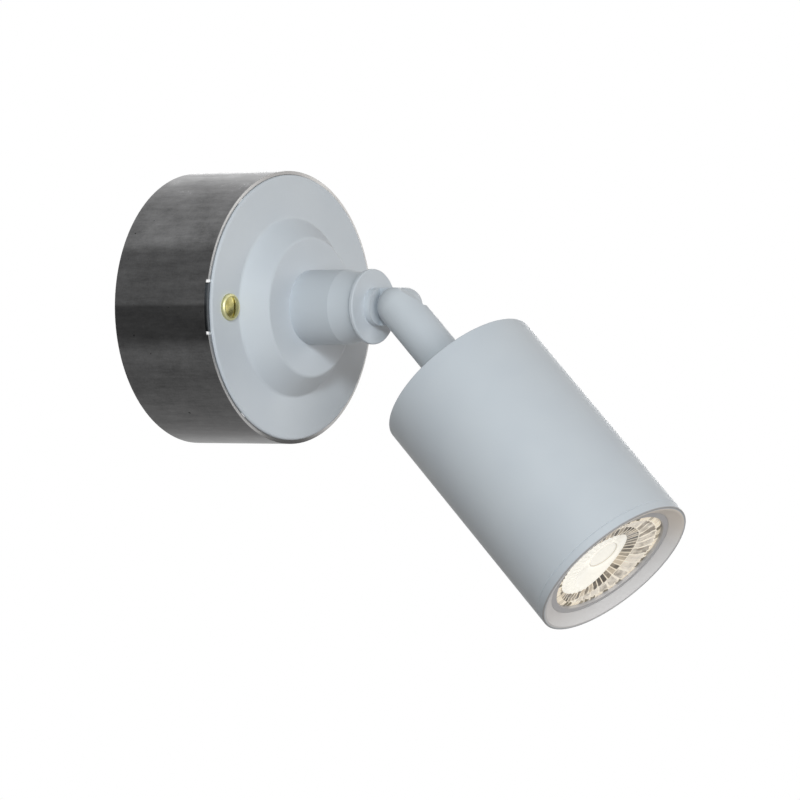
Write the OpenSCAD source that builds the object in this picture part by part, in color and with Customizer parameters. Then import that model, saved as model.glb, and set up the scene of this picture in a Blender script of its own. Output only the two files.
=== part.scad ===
// Pivoting spotlight wall light: steel base ring with a domed cover, swivelling stem joint,
// half-lap tilting knuckle and a cylindrical head that holds a plug-in reflector lamp.
// The wall plane is y = 0, the lamp reaches out along -Y, and +Z is up.

/* [Base ring] */
// Outside diameter of the base ring
base_d = 96.5; // [92:0.5:130]
// Depth of the base ring from the wall to its front rim
base_depth = 41; // [36:0.5:70]
// Sheet thickness of the base ring
ring_wall = 1.2; // [0.8:0.1:2]

/* [Mounting bracket] */
// Sheet thickness of the bracket
bracket_t = 1.2; // [1:0.1:1.6]
// Width of the two legs and ears
ear_w = 16.6; // [12:0.2:20]
// Distance between the two wall screw slots
slot_spacing = 60; // [54:1:66]
// Width of a wall screw slot
slot_w = 4.6; // [4:0.1:5.5]
// End-to-end length of a wall screw slot
slot_len = 9; // [7:0.5:11]
// Diameter of the cable that the bush takes
cable_d = 8; // [6:0.5:9]

/* [Cover] */
// Sheet thickness of the cover
cover_t = 1; // [0.8:0.1:1.5]
// Height of the raised centre above the flat rim
dome_rise = 8; // [6:0.5:11]
// Radial run of the slope around the raised centre
dome_run = 7; // [6:0.1:9]
// Fillet radius where the slope meets the flats
dome_fillet = 1.6; // [1.2:0.1:2.4]
// Shank diameter of the cover screws
cover_screw_d = 4; // [3:0.5:4.5]
// Outside diameter of the cup washers
cup_d = 9.4; // [8.6:0.1:11]

/* [Stem and swivel] */
// Length of the stem from the cover to the swivel gap
stem_len = 25; // [21:0.5:40]
// Wall of the stem around its bore
stem_wall = 3.9; // [3.6:0.1:5]
// Diameter of the hollow swivel and arm spigots
spigot_d = 10; // [9:0.5:12]
// Thickness of the swivel flange
flange_t = 2.3; // [1.8:0.1:3]
// Diameter of the stub that carries the knuckle
stub_d = 13.2; // [12.6:0.1:16]

/* [Knuckle and arm] */
// Half width of the stub's lug along the pivot
lug_half = 7.2; // [7:0.1:9]
// Shank diameter of the pivot screw
pivot_screw_d = 3.5; // [3:0.25:3.75]
// How much larger the arm's radius is than the lug's
arm_step = 1.07; // [0.8:0.01:1.5]
// Length of the arm from the pivot to the back of the head
arm_len = 36.2; // [31:0.2:60]
// Tilt of the arm below the horizontal at rest
rest_tilt = 45; // [0:1:80]

/* [Head] */
// Wall of the head's tube
head_wall = 1.5; // [1:0.1:2.5]
// Thickness of the head's closed back
head_back = 2.5; // [2:0.1:4]
// Air space between the lamp and the head's bore
lamp_air = 3.5; // [3:0.1:6]
// Height of the strap that carries the lamp holder
strap_h = 24.3; // [20:0.1:40]
// Length of the front ring outside the seam
ring_len = 3.3; // [2.9:0.1:6]
// Width of the front ring's flat lip
lip_w = 1.5; // [1:0.1:2]

/* [Lamp] */
// Diameter of the lamp at its face
lamp_d = 50; // [48:0.5:60]
// Length of the lamp from its face to its base
lamp_len = 46.5; // [42:0.5:56]
// Distance from the mouth back to the lamp's face
face_recess = 2.7; // [2.3:0.1:5]
// Width of the dark rim around the lens
rim_w = 2.7; // [2.2:0.1:3.5]
// Distance between the two contact pins
pin_spacing = 10; // [9:0.5:11]
// Height of the ceramic lamp holder
holder_h = 14; // [12:0.5:18]

/* [Hidden] */
$fn = 72;
// Sides of a hexagonal nut or socket
hex_sides = 6;
// Overrun of every cut past the face that it opens
cut = 1;
// Radial clearance of a shank, spigot or pin in its hole
fit_gap = 0.05;
// Gap between flat faces that turn on each other
face_gap = 0.1;

// Base ring and bracket
base_r = base_d / 2;
ring_in_r = base_r - ring_wall;
notch_gap = 0.2;
ear_setback = 0.8;
ear_end_r = base_r - ear_setback;
plate_gap = 2;
plate_edge = 3.5;
plate_corner = 12;
plate_h = slot_spacing + slot_len + 2 * plate_edge;
bush_wall = 2;
bush_lip = 1.5;
bush_lip_t = 2;
bush_r = cable_d / 2 + bush_wall;
bush_lip_r = bush_r + bush_lip;

// Cover with its screws, cup washers and nuts
cover_gap = 0.15;
cover_r = ring_in_r - cover_gap;
cover_front = base_depth + cover_t;
cover_edge = 0.8;
cover_hole_r = 8;
cover_screw_r = cover_screw_d / 2;
cup_r = cup_d / 2;
cup_h = 1.4;
cup_round = 0.75;
cup_gap = 0.1;
screw_edge = 5.2;
screw_x = cover_r - cup_r - screw_edge;
dome_slope = atan(dome_rise / dome_run);
dome_foot_r = screw_x - cup_r - dome_fillet * tan(dome_slope / 2);
dome_top_r = dome_foot_r - dome_run;
plateau_front = cover_front + dome_rise;
oval_head_r = cup_r - cup_round - cup_gap;
oval_rise = 1.1;
oval_ball_r = (oval_head_r * oval_head_r + oval_rise * oval_rise) / (2 * oval_rise);
oval_slot_w = 0.9;
oval_slot_deep = 1;
cover_nut_t = 3.2;
cover_nut_wall = 2;
cover_nut_r = cover_screw_r + cover_nut_wall;
screw_tip = 0.5;
screw_over = 1;
screw_len = cover_t + bracket_t + cover_nut_t + screw_over;
leg_gap = 0.5;
leg_x = screw_x - cover_nut_r - leg_gap;

// Terminal block and earth stud on the plate
poles = 3;
pole_pitch = 8;
block_w = 13;
block_end = 1.5;
block_l = poles * pole_pitch + 2 * block_end;
block_base_h = 7;
block_gap = 0.4;
block_x = -(bush_lip_r + block_gap + block_w / 2);
turret_r = 2.6;
turret_h = 4;
turret_x = block_w / 2 - turret_r - block_gap;
sleeve_r = 2.3;
sleeve_bore_r = 1.5;
sleeve_inset = 1;
sleeve_up = block_base_h / 2;
grub_r = 1.3;
grub_neck = 1;
grub_head_r = 1.8;
grub_head_t = 2;
block_screw_r = 1.3;
block_head_r = 1.6;
block_head_t = 1.2;
earth_r = 2;
earth_weld_r = 3.2;
earth_weld_t = 0.8;
earth_len = 12;
earth_washer_r = 4;
earth_washer_t = 0.8;
earth_nut_r = 4;
earth_nut_t = 3.2;
earth_x = bush_lip_r + block_gap + earth_washer_r;

// Stem, swivel and stop
spigot_r = spigot_d / 2;
spigot_nut_wall = 2.5;
spigot_nut_r = spigot_r + spigot_nut_wall;
spigot_nut_t = 3.5;
spigot_over = 1;
stop_disc_w = 1.9;
stop_disc_r = spigot_r + stop_disc_w;
stop_t = 1.2;
stop_pin_r = 0.9;
stop_pin_deep = 2;
stop_pin_at = stop_disc_r + face_gap + stop_pin_r;
stop_pin_gap = 0.2;
tab_w = 2.4;
tab_tip_r = stop_pin_at + stop_pin_r;
wave_t = 0.6;
stem_bore_gap = 0.4;
stem_bore_r = tab_tip_r + stem_bore_gap;
stem_r = stem_bore_r + stem_wall;
stem_front = plateau_front + stem_len;
end_wall = 6;
bore_end = stem_front - end_wall;
neck_cut = 1;
neck_len = 8.5;
neck_r = stem_r - neck_cut;
neck_curve_r = (neck_len * neck_len + neck_cut * neck_cut) / (2 * neck_cut);
neck_angle = asin(neck_len / neck_curve_r);
stem_screws_n = 3;
stem_screw_r = 1.25;
stem_screw_head_r = 2.2;
stem_screw_head_t = 1.3;
stem_screw_len = 9;
stem_screw_at = (stem_bore_r + stem_r) / 2;
wave_back = bore_end - face_gap / 2 - wave_t;
stop_back = wave_back - stop_t;
spigot_nut_back = stop_back - spigot_nut_t;
spigot_back = spigot_nut_back - spigot_over;
stop_pin_out = bore_end - stop_back - stop_pin_gap;
lead_r = 2.6;
flange_back = stem_front + face_gap;
flange_front = flange_back + flange_t;
flange_proud = 0.1;
flange_r = stem_r + flange_proud;
flange_round = 0.5;
flange_flare = flange_r - neck_r;
flare_angle = 90;

// Knuckle
stub_r = stub_d / 2;
lug_r = stub_r;
lug_round = 3.5;
lug_inner_round = 0.7;
lug_wall = 2.2;
lap_gap = face_gap / 2;
chamber_r = lug_r - lug_wall;
chamber_deep = 2.9;
lead_side = 1.5;
knuckle_lead_r = 1.35;
shoulder_gap = 0.35;
arm_r = lug_r + arm_step;
arm_shoulder = lug_r + shoulder_gap;
stub_shoulder_gap = 0.5;
stub_shoulder = arm_r + stub_shoulder_gap;
corner_gap = 0.4;
stub_len = sqrt(arm_r * arm_r + arm_shoulder * arm_shoulder) + corner_gap;
pivot_out = flange_front + stub_len;
taper_len = 5;
taper_far = sqrt(arm_r * arm_r + taper_len * taper_len);
taper_angle = atan(taper_len / arm_r) - acos(lug_r / taper_far);
pivot_r = pivot_screw_d / 2;
pivot_head_r = 2.75;
pivot_head_t = 1.9;
pivot_head_gap = 0.15;
pivot_washer_t = 0.4;
pivot_sunk = 0.3;
pivot_key_r = 1.45;
pivot_key_deep = 1.1;
pivot_seat = lug_half - pivot_sunk - pivot_head_t - pivot_washer_t;
pivot_tip_wall = 1.6;
pivot_tip_gap = 0.3;
pivot_tip = arm_r - pivot_tip_wall;

// Head and front ring
lamp_r = lamp_d / 2;
head_bore_r = lamp_r + lamp_air;
head_r = head_bore_r + head_wall;
head_len = face_recess + lamp_len + holder_h + strap_h + head_back;
head_edge = 0.4;
head_floor = arm_len + head_back;
mouth = arm_len + head_len;
seam = mouth - ring_len;
seam_half = 0.2;
skirt_len = 6;
skirt_gap = 0.1;
skirt_wall = 1.3;
skirt_r = head_bore_r - skirt_gap;
lip_round = 0.35;
ring_grip = 0.5;
opening_r = lamp_r - ring_grip;
bezel_t = 1.2;
bezel_lip = 0.1;
bezel_deep = face_recess - bezel_lip;
strap_t = 1.2;
strap_w = 14;
lock_t = 0.8;
lock_w = 1.8;
arm_spigot_len = head_back + strap_t + lock_t + spigot_nut_t + spigot_over;

// Lamp and its holder; places along the lamp are measured from its foot
lamp_foot = mouth - face_recess - lamp_len;
holder_foot = lamp_foot - holder_h;
shoulder_at = lamp_len + face_recess - bezel_deep - bezel_t - face_gap;
collar_len = 7;
taper_at = shoulder_at - collar_len;
cone_len = 20;
waist_at = taper_at - cone_len;
waist_r = 17;
foot_r = 14;
shell_t = 1.2;
cap_len = 10;
cap_wall = 2;
rim_r = opening_r - skirt_gap;
rim_seat_r = lamp_r - shell_t - fit_gap;
lens_r = lamp_r - rim_w;
lens_t = 2;
lens_sunk = 0.3;
lens_back = lamp_len - lens_sunk - lens_t;
lens_dish = 0.5;
lens_dish_r = 12;
lens_cone_r = 13.5;
lens_cone_h = 9;
lens_cone_wall = 1.2;
lens_well_r = 5.6;
lens_well_deep = 4;
ledge_w = 1;
ledge_t = 1.2;
board_t = 1.6;
board_at = lens_back - lens_cone_h - board_t;
board_r = lamp_r - shell_t - fit_gap - (taper_at - board_at) * (lamp_r - waist_r) / cone_len;
led_r = 4.5;
led_t = 1;
pin_r = 1;
pin_len = 7.5;
pin_stub = 1.5;
pin_head_r = 2.5;
pin_head_t = 2;
holder_r = 15;
well_gap = 0.4;
well_r = pin_head_r + well_gap;
contact_t = 1.5;
well_deep = pin_len + contact_t;
holder_screw_r = 1.5;
holder_head_r = 2.6;
holder_head_t = 1.6;
holder_screw_edge = 4.2;
holder_screw_y = holder_r - holder_screw_edge;
holder_nut_t = 2.4;
holder_nut_r = 3;
holder_screw_len = holder_h + strap_t + holder_nut_t + screw_tip;

// Local +Z runs out from the wall, local +Y is up
module from_wall(out = 0) translate([0, -out, 0]) rotate([90, 0, 0]) children();

// Local +Z runs along the arm, from the pivot to the mouth
module from_pivot(along = 0) from_wall(pivot_out) rotate([rest_tilt, 0, 0])
    translate([0, 0, along]) children();

// Local +Z runs along the pivot's axis, towards +X
module along_pivot(x = 0) from_wall(pivot_out) rotate([0, 90, 0]) translate([0, 0, x]) children();

module both_sides() for (side = [0, 1]) mirror([side, 0, 0]) children();

module tube(r_out, r_in, h) difference() {
    cylinder(r = r_out, h = h);
    translate([0, 0, -cut]) cylinder(r = r_in, h = h + 2 * cut);
}

module hex_nut(r, bore_r, h) difference() {
    cylinder(r = r, h = h, $fn = hex_sides);
    translate([0, 0, -cut]) cylinder(r = bore_r, h = h + 2 * cut);
}

// Rectangle with round corners, centred
module round_plate(w, h, r) {
    square([w - 2 * r, h], center = true);
    square([w, h - 2 * r], center = true);
    for (x = [-1, 1], y = [-1, 1]) translate([x * (w / 2 - r), y * (h / 2 - r)]) circle(r = r);
}

// Slot along Y with round ends, centred
module slot(w, l) {
    square([w, l - w], center = true);
    for (y = [-1, 1]) translate([0, y * (l - w) / 2]) circle(r = w / 2);
}

// Points of an arc about c, from angle a to angle b
function arc(c, r, a, b, n = 8) = [for (i = [0:n]) let (t = a + (b - a) * i / n) c + r * [cos(t), sin(t)]];

function reversed(points) = [for (i = [len(points) - 1:-1:0]) points[i]];

// Bracket: plate on the wall, two legs, and ears that clamp the base ring at its notches
module mounting_bracket() color("silver") from_wall() difference() {
    union() {
        linear_extrude(bracket_t) intersection() {
            circle(r = ring_in_r - plate_gap);
            round_plate(2 * leg_x, plate_h, plate_corner);
        }
        both_sides() translate([leg_x - bracket_t, -ear_w / 2, 0]) cube([bracket_t, ear_w, base_depth]);
        both_sides() intersection() {
            translate([leg_x - bracket_t, -ear_w / 2, base_depth - bracket_t])
                cube([ear_end_r, ear_w, bracket_t]);
            cylinder(r = ear_end_r, h = base_depth);
        }
    }
    both_sides() translate([screw_x, 0, base_depth - bracket_t - cut])
        cylinder(r = cover_screw_r + fit_gap, h = bracket_t + 2 * cut);
    for (y = [-1, 1]) translate([0, y * slot_spacing / 2, -cut])
        linear_extrude(bracket_t + 2 * cut) slot(slot_w, slot_len);
    translate([0, 0, -cut]) cylinder(r = bush_r + fit_gap, h = bracket_t + 2 * cut);
    translate([block_x, pole_pitch / 2, -cut])
        cylinder(r = block_screw_r + fit_gap, h = bracket_t + 2 * cut);
}

// Open steel ring with a notch in its front rim at each ear
module ring_housing() color("dimgray") from_wall() difference() {
    tube(base_r, ring_in_r, base_depth);
    both_sides() translate([0, -ear_w / 2 - notch_gap, base_depth - bracket_t])
        cube([base_d, ear_w + 2 * notch_gap, bracket_t + cut]);
}

// One face of the cover's section, from the flat rim up the slope to the raised centre
function cover_face(flat) = concat(
    arc([dome_foot_r + dome_fillet * tan(dome_slope / 2), flat + dome_fillet],
        dome_fillet, -90, -90 - dome_slope),
    arc([dome_top_r - dome_fillet * tan(dome_slope / 2), flat + dome_rise - dome_fillet],
        dome_fillet, 90 - dome_slope, 90));

// Pressed cover: flat rim, conical rise and flat raised centre
module cover_disc() color("lightsteelblue") from_wall() difference() {
    rotate_extrude() polygon(concat(
        [[cover_r, base_depth]],
        arc([cover_r - cover_edge, cover_front - cover_edge], cover_edge, 0, 90),
        cover_face(cover_front),
        [[cover_hole_r, plateau_front], [cover_hole_r, plateau_front - cover_t]],
        reversed(cover_face(base_depth))));
    both_sides() translate([screw_x, 0, base_depth - cut])
        cylinder(r = cover_screw_r + fit_gap, h = cover_t + 2 * cut);
    at_stem_screws() translate([0, 0, plateau_front - cover_t - cut])
        cylinder(r = stem_screw_r + fit_gap, h = cover_t + 2 * cut);
}

// Brass screws: raised countersunk head with a straight slot, through the cover and the ear
module cover_screws() color("goldenrod") from_wall(cover_front) both_sides() translate([screw_x, 0, 0])
    difference() {
        rotate_extrude() polygon(concat(
            [[0, -screw_len], [cover_screw_r - screw_tip, -screw_len],
                [cover_screw_r, -screw_len + screw_tip], [cover_screw_r, 0]],
            arc([0, cup_h + oval_rise - oval_ball_r], oval_ball_r, acos(oval_head_r / oval_ball_r), 90)));
        translate([-oval_slot_w / 2, -cup_r, cup_h + oval_rise - oval_slot_deep])
            cube([oval_slot_w, cup_d, oval_slot_deep + cut]);
    }

// Brass finishing washers that seat the countersunk heads
module cup_washers() color("goldenrod") from_wall(cover_front) both_sides() translate([screw_x, 0, 0])
    rotate_extrude() polygon(concat(
        [[cover_screw_r + cup_gap, 0], [cup_r, 0]],
        arc([cup_r - cup_round, cup_h - cup_round], cup_round, 0, 90)));

// Nuts pressed behind the ears
module cover_nuts() color("silver") from_wall(base_depth - bracket_t - cover_nut_t) both_sides()
    translate([screw_x, 0, 0]) hex_nut(cover_nut_r, cover_screw_r + fit_gap, cover_nut_t);

// Rubber bush where the supply cable comes through the plate
module cable_bush() color("black") from_wall() rotate_extrude() polygon([
    [cable_d / 2, 0], [bush_r, 0], [bush_r, bracket_t], [bush_lip_r, bracket_t],
    [bush_lip_r, bracket_t + bush_lip_t - bush_lip], [bush_r, bracket_t + bush_lip_t],
    [cable_d / 2, bracket_t + bush_lip_t]]);

module at_poles() for (i = [0:poles - 1])
    translate([block_x, (i - (poles - 1) / 2) * pole_pitch, 0]) children();

module at_grub_screws() at_poles() both_sides() translate([turret_x, 0, 0]) children();

// Terminal block for live, neutral and earth
module terminal_block() color("white") from_wall(bracket_t) difference() {
    union() {
        translate([block_x - block_w / 2, -block_l / 2, 0]) cube([block_w, block_l, block_base_h]);
        at_grub_screws() cylinder(r = turret_r, h = block_base_h + turret_h);
    }
    at_poles() translate([-block_w / 2 - cut, 0, sleeve_up]) rotate([0, 90, 0])
        cylinder(r = sleeve_r + fit_gap, h = block_w + 2 * cut);
    at_grub_screws() translate([0, 0, sleeve_up])
        cylinder(r = grub_head_r + fit_gap, h = block_base_h + turret_h);
    translate([block_x, pole_pitch / 2, 0]) {
        translate([0, 0, -cut]) cylinder(r = block_screw_r + fit_gap, h = block_base_h + 2 * cut);
        translate([0, 0, block_base_h - block_head_t])
            cylinder(r = block_head_r + fit_gap, h = block_head_t + cut);
    }
}

// Brass sleeves that clamp the wires, one in each pole
module terminal_sleeves() color("goldenrod") from_wall(bracket_t + sleeve_up) difference() {
    at_poles() translate([-block_w / 2 + sleeve_inset, 0, 0]) rotate([0, 90, 0])
        tube(sleeve_r, sleeve_bore_r, block_w - 2 * sleeve_inset);
    at_grub_screws() cylinder(r = grub_r + fit_gap, h = sleeve_r + cut);
}

// Clamping screws of the terminal block
module terminal_screws() color("silver") from_wall(bracket_t + sleeve_up) at_grub_screws() {
    cylinder(r = grub_r, h = sleeve_r + grub_neck);
    translate([0, 0, sleeve_r + grub_neck]) cylinder(r = grub_head_r, h = grub_head_t);
}

// Screw that fixes the terminal block to the plate
module block_screw() color("silver") from_wall(bracket_t) translate([block_x, pole_pitch / 2, 0]) {
    translate([0, 0, -bracket_t]) cylinder(r = block_screw_r, h = bracket_t + block_base_h);
    translate([0, 0, block_base_h - block_head_t]) cylinder(r = block_head_r, h = block_head_t);
}

// Earth stud welded to the plate
module earth_stud() color("silver") from_wall(bracket_t) translate([earth_x, 0, 0]) {
    cylinder(r = earth_weld_r, h = earth_weld_t);
    cylinder(r = earth_r, h = earth_len);
}

// Washer and nut of the earth stud
module earth_nuts() color("goldenrod") from_wall(bracket_t + earth_weld_t) translate([earth_x, 0, 0]) {
    tube(earth_washer_r, earth_r + fit_gap, earth_washer_t);
    translate([0, 0, earth_washer_t]) hex_nut(earth_nut_r, earth_r + fit_gap, earth_nut_t);
}

module at_stem_screws() for (i = [0:stem_screws_n - 1]) rotate(360 * i / stem_screws_n)
    translate([stem_screw_at, 0, 0]) children();

// Stem: hollow post with a hollowed neck and a solid end that carries the swivel
module stem() color("lightsteelblue") from_wall(plateau_front) difference() {
    rotate_extrude() polygon(concat(
        [[stem_bore_r, 0], [stem_r, 0]],
        reversed(arc([neck_r + neck_curve_r, stem_len], neck_curve_r, 180, 180 + neck_angle)),
        [[spigot_r + fit_gap, stem_len], [spigot_r + fit_gap, stem_len - end_wall],
            [stem_bore_r, stem_len - end_wall]]));
    at_stem_screws() translate([0, 0, -cut]) cylinder(r = stem_screw_r + fit_gap, h = stem_screw_len + cut);
    translate([0, -stop_pin_at, stem_len - end_wall - cut])
        cylinder(r = stop_pin_r + fit_gap, h = stop_pin_deep + cut);
}

// Screws from inside the cover into the stem's wall
module stem_screws() color("silver") from_wall(plateau_front - cover_t) at_stem_screws() {
    translate([0, 0, -stem_screw_head_t]) cylinder(r = stem_screw_head_r, h = stem_screw_head_t);
    cylinder(r = stem_screw_r, h = stem_screw_len);
}

// Pin in the stem's end that stops the swivel before the leads are twisted
module stop_pin() color("silver") from_wall(bore_end - stop_pin_out) translate([0, -stop_pin_at, 0])
    cylinder(r = stop_pin_r, h = stop_pin_out + stop_pin_deep);

// Lug of the half-lap knuckle as a disc about the pivot, from its parting face outwards
module lug_disc(half, outer_round) rotate_extrude() polygon(concat(
    [[0, lap_gap]],
    arc([lug_r - lug_inner_round, lap_gap + lug_inner_round], lug_inner_round, -90, 0),
    arc([lug_r - outer_round, half - outer_round], outer_round, 0, 90),
    [[0, half]]));

// Swivelling knuckle: hollow spigot, flange, stub and the lug on the pivot's far side
module swivel_knuckle() color("lightsteelblue") difference() {
    union() {
        from_wall() rotate_extrude() polygon(concat(
            [[0, spigot_back], [spigot_r, spigot_back], [spigot_r, flange_back], [neck_r, flange_back]],
            reversed(arc([neck_r + flange_flare, flange_back], flange_flare, 180 - flare_angle, 180)),
            arc([flange_r - flange_round, flange_front - flange_round], flange_round, 0, 90),
            [[stub_r, flange_front], [stub_r, pivot_out - stub_shoulder], [0, pivot_out - stub_shoulder]]));
        intersection() {
            from_wall(flange_front) cylinder(r = stub_r, h = stub_len);
            from_wall(flange_front) translate([lap_gap, -stub_r, -cut])
                cube([stub_d, stub_d, stub_len + cut]);
        }
        along_pivot() lug_disc(lug_half, lug_round);
    }
    from_wall(spigot_back - cut) cylinder(r = lead_r, h = flange_front - spigot_back + cut);
    from_wall(flange_front - cut) translate([lead_side, 0, 0])
        cylinder(r = knuckle_lead_r, h = stub_len - chamber_r / 2 + cut);
    along_pivot(-cut) cylinder(r = chamber_r, h = chamber_deep + cut);
    along_pivot() cylinder(r = pivot_r + fit_gap, h = lug_half);
    along_pivot(pivot_seat) cylinder(r = pivot_head_r + pivot_head_gap, h = lug_half);
}

// Stop ring on the spigot, with the tab that meets the pin
module swivel_stop() color("silver") from_wall(stop_back) {
    tube(stop_disc_r, spigot_r + fit_gap, stop_t);
    difference() {
        translate([-tab_w / 2, 0, 0]) cube([tab_w, tab_tip_r, stop_t]);
        translate([0, 0, -cut]) cylinder(r = stop_disc_r - fit_gap, h = stop_t + 2 * cut);
    }
}

// Spring washer that keeps the swivel stiff
module swivel_washer() color("silver") from_wall(wave_back) tube(stop_disc_r, spigot_r + fit_gap, wave_t);

// Nut on the spigot, inside the stem
module swivel_nut() color("goldenrod") from_wall(spigot_nut_back)
    hex_nut(spigot_nut_r, spigot_r + fit_gap, spigot_nut_t);

// Spring washer under the pivot screw's head
module pivot_washer() color("silver") along_pivot(pivot_seat)
    tube(pivot_head_r, pivot_r + fit_gap, pivot_washer_t);

// Outline seen along the pivot where the arm's round lug widens to the full rod
module lug_taper() polygon([
    [-lug_r * cos(taper_angle), lug_r * sin(taper_angle)], [-arm_r, taper_len],
    [-arm_r, arm_shoulder + cut], [arm_r, arm_shoulder + cut],
    [arm_r, taper_len], [lug_r * cos(taper_angle), lug_r * sin(taper_angle)]]);

// Arm: domed lug on the pivot's near side, full rod, and the spigot that holds the head
module knuckle_arm() color("lightsteelblue") difference() {
    union() {
        intersection() {
            from_pivot() union() {
                sphere(r = arm_r);
                cylinder(r = arm_r, h = arm_shoulder + cut);
            }
            union() {
                from_pivot() rotate([90, 0, -90]) translate([0, 0, lap_gap]) linear_extrude(arm_r) lug_taper();
                mirror([1, 0, 0]) along_pivot() lug_disc(arm_r, lug_inner_round);
            }
        }
        from_pivot(arm_shoulder) cylinder(r = arm_r, h = arm_len - arm_shoulder);
        from_pivot(arm_len) cylinder(r = spigot_r, h = arm_spigot_len);
    }
    from_pivot(chamber_r / 2) translate([-lead_side, 0, 0])
        cylinder(r = knuckle_lead_r, h = arm_len + arm_spigot_len);
    along_pivot(-chamber_deep) cylinder(r = chamber_r, h = chamber_deep + cut);
    along_pivot(-pivot_tip) cylinder(r = pivot_r + fit_gap, h = pivot_tip);
}

// Pivot screw: runs in the stub's lug and threads into the arm's lug
module pivot_screw() color("silver") difference() {
    union() {
        along_pivot(-pivot_tip + pivot_tip_gap)
            cylinder(r = pivot_r, h = pivot_tip - pivot_tip_gap + pivot_seat + pivot_washer_t);
        along_pivot(pivot_seat + pivot_washer_t) cylinder(r = pivot_head_r, h = pivot_head_t);
    }
    along_pivot(pivot_seat + pivot_washer_t + pivot_head_t - pivot_key_deep)
        cylinder(r = pivot_key_r, h = pivot_key_deep + cut, $fn = hex_sides);
}

// Head: drawn tube with a flat closed back
module head_shell() color("lightsteelblue") from_pivot(arm_len) rotate_extrude() polygon(concat(
    [[spigot_r + fit_gap, 0]],
    arc([head_r - head_edge, head_edge], head_edge, -90, 0),
    [[head_r, seam - arm_len - seam_half], [head_r - seam_half, seam - arm_len],
        [head_bore_r, seam - arm_len], [head_bore_r, head_back], [spigot_r + fit_gap, head_back]]));

// Lock washer and nut on the arm's spigot, inside the head
module arm_lock_washer() color("silver") from_pivot(head_floor + strap_t)
    tube(spigot_r + lock_w, spigot_r + fit_gap, lock_t);

module arm_nut() color("goldenrod") from_pivot(head_floor + strap_t + lock_t)
    hex_nut(spigot_nut_r, spigot_r + fit_gap, spigot_nut_t);

// Strap bent into a box, clamped by the arm's nut, that carries the lamp holder
module holder_strap() color("silver") from_pivot(head_floor) difference() {
    translate([-strap_w / 2, -holder_r, 0]) cube([strap_w, 2 * holder_r, strap_h]);
    translate([-strap_w / 2 - cut, -holder_r + strap_t, strap_t])
        cube([strap_w + 2 * cut, 2 * (holder_r - strap_t), strap_h - 2 * strap_t]);
    translate([0, 0, -cut]) cylinder(r = spigot_r + fit_gap, h = strap_t + 2 * cut);
    at_holder_screws() translate([0, 0, strap_h - strap_t - cut])
        cylinder(r = holder_screw_r + fit_gap, h = strap_t + 2 * cut);
}

module at_holder_screws() for (y = [-1, 1]) translate([0, y * holder_screw_y, 0]) children();

module at_pins() both_sides() translate([pin_spacing / 2, 0, 0]) children();

// Ceramic lamp holder with two contact wells
module lamp_holder() color("ivory") from_pivot(holder_foot) difference() {
    cylinder(r = holder_r, h = holder_h);
    at_pins() translate([0, 0, holder_h - well_deep]) cylinder(r = well_r, h = well_deep + cut);
    at_holder_screws() {
        translate([0, 0, -cut]) cylinder(r = holder_screw_r + fit_gap, h = holder_h + 2 * cut);
        translate([0, 0, holder_h - holder_head_t])
            cylinder(r = holder_head_r + fit_gap, h = holder_head_t + cut);
    }
}

// Brass contacts at the bottom of the wells
module holder_contacts() color("goldenrod") from_pivot(lamp_foot - well_deep) at_pins()
    cylinder(r = well_r - fit_gap, h = contact_t);

// Screws and nuts that hold the ceramic on the strap
module holder_screws() color("silver") from_pivot(lamp_foot) at_holder_screws() {
    translate([0, 0, -holder_head_t]) cylinder(r = holder_head_r, h = holder_head_t);
    translate([0, 0, -holder_screw_len]) cylinder(r = holder_screw_r, h = holder_screw_len);
}

module holder_nuts() color("silver") from_pivot(holder_foot - strap_t - holder_nut_t) at_holder_screws()
    hex_nut(holder_nut_r, holder_screw_r + fit_gap, holder_nut_t);

// Lamp housing: collar, taper and neck in one thin shell
module lamp_housing() color("whitesmoke") from_pivot(lamp_foot) rotate_extrude() polygon([
    [foot_r, cap_len], [waist_r, waist_at], [lamp_r, taper_at], [lamp_r, shoulder_at],
    [lamp_r - shell_t, shoulder_at], [lamp_r - shell_t, taper_at], [waist_r - shell_t, waist_at],
    [foot_r - shell_t, cap_len]]);

// Insulating base of the lamp
module lamp_base() color("whitesmoke") from_pivot(lamp_foot) difference() {
    cylinder(r = foot_r, h = cap_len);
    translate([0, 0, cap_wall]) cylinder(r = foot_r - cap_wall, h = cap_len);
    at_pins() translate([0, 0, -cut]) cylinder(r = pin_r + fit_gap, h = cap_wall + 2 * cut);
}

// Contact pins of the lamp, with their twist-lock heads
module lamp_pins() color("silver") from_pivot(lamp_foot) at_pins() {
    translate([0, 0, -pin_len]) cylinder(r = pin_head_r, h = pin_head_t);
    translate([0, 0, -pin_len]) cylinder(r = pin_r, h = pin_len + cap_wall + pin_stub);
}

// Circuit board with its light source, seated in the housing's taper
module led_board() color("khaki") from_pivot(lamp_foot) {
    translate([0, 0, board_at]) cylinder(r = board_r, h = board_t);
    translate([0, 0, board_at + board_t]) cylinder(r = led_r, h = led_t);
}

// Clear lens: faceted plate over a light-gathering cone with a well around the source
module lamp_lens() color("lemonchiffon", 0.6) from_pivot(lamp_foot) rotate_extrude() polygon([
    [0, lens_back + lens_t - lens_dish], [lens_dish_r, lens_back + lens_t - lens_dish],
    [lens_cone_r, lens_back + lens_t], [lens_r, lens_back + lens_t], [lens_r, lens_back],
    [lens_cone_r, lens_back], [lens_well_r + lens_cone_wall, board_at + board_t],
    [lens_well_r, board_at + board_t], [lens_well_r, board_at + board_t + lens_well_deep],
    [0, board_at + board_t + lens_well_deep]]);

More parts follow.
